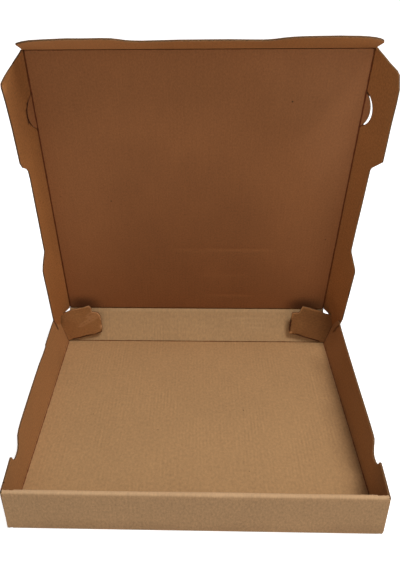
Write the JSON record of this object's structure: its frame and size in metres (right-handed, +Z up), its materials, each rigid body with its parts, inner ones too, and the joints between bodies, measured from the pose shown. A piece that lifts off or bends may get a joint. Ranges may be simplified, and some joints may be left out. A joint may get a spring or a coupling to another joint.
{
  "type": "pizza box",
  "caption": "Square pizza box of plain kraft corrugated board, standing open, with a hinged lid, tuck-in side flaps and a rolled front wall.",
  "frame": {"origin": "middle of the tray's underside, on the surface the box stands on", "axes": "+Z up, -Y towards the open front wall, +Y towards the lid hinge, +X to the right seen from the front"},
  "size_m": [0.3341, 0.3199, 0.3507],
  "materials": {
    "kraft_board": "uncoated matt kraft liner"
  },
  "bodies": {
    "base_tray": {"base_tray": "kraft_board"},
    "back_wall": {"back_wall": "kraft_board"},
    "lid_panel": {"lid_panel": "kraft_board"},
    "lid_front_flap": {"lid_front_flap": "kraft_board"},
    "lid_side_flap_left": {"lid_side_flap_left": "kraft_board"},
    "lid_side_flap_right": {"lid_side_flap_right": "kraft_board"},
    "rear_corner_flap_left": {"rear_corner_flap_left": "kraft_board"},
    "rear_corner_flap_right": {"rear_corner_flap_right": "kraft_board"}
  },
  "joints": [
    {"name": "back_wall_fold", "type": "hinge", "parent": "base_tray", "child": "back_wall", "pos_m": [0, 0.1538, 0.0008], "axis": [1, 0, 0], "range_deg": [-12.55, 15]},
    {"name": "lid_hinge", "type": "hinge", "parent": "back_wall", "child": "lid_panel", "pos_m": [0, 0.16457, 0.04098], "axis": [1, 0, 0], "range_deg": [-48.5, 58]},
    {"name": "lid_front_flap_fold", "type": "hinge", "parent": "lid_panel", "child": "lid_front_flap", "pos_m": [0, 0.0737, 0.3382], "axis": [1, 0, 0], "range_deg": [-54, 36]},
    {"name": "lid_side_flap_left_fold", "type": "hinge", "parent": "lid_panel", "child": "lid_side_flap_left", "pos_m": [-0.1506, 0.16457, 0.04098], "axis": [0, -0.2924, 0.9563], "range_deg": [-20.08, 24]},
    {"name": "lid_side_flap_right_fold", "type": "hinge", "parent": "lid_panel", "child": "lid_side_flap_right", "pos_m": [0.1506, 0.16457, 0.04098], "axis": [0, 0.2924, -0.9563], "range_deg": [-23.42, 28]},
    {"name": "rear_corner_left_sway", "type": "hinge", "parent": "base_tray", "child": "rear_corner_flap_left", "pos_m": [-0.153, 0.1517, 0.0016], "axis": [0, 1, 0], "range_deg": [-14.64, 17.5]},
    {"name": "rear_corner_right_sway", "type": "hinge", "parent": "base_tray", "child": "rear_corner_flap_right", "pos_m": [0.153, 0.1517, 0.0016], "axis": [0, -1, 0], "range_deg": [-14.64, 17.5]}
  ],
  "couplings": [
    {"joint": "back_wall_fold", "follows": "lid_hinge", "ratio": 0.25862},
    {"joint": "lid_side_flap_left_fold", "follows": "lid_hinge", "ratio": 0.41379},
    {"joint": "lid_side_flap_right_fold", "follows": "lid_hinge", "ratio": 0.48276},
    {"joint": "rear_corner_left_sway", "follows": "lid_hinge", "ratio": 0.30172},
    {"joint": "rear_corner_right_sway", "follows": "lid_hinge", "ratio": 0.30172}
  ]
}
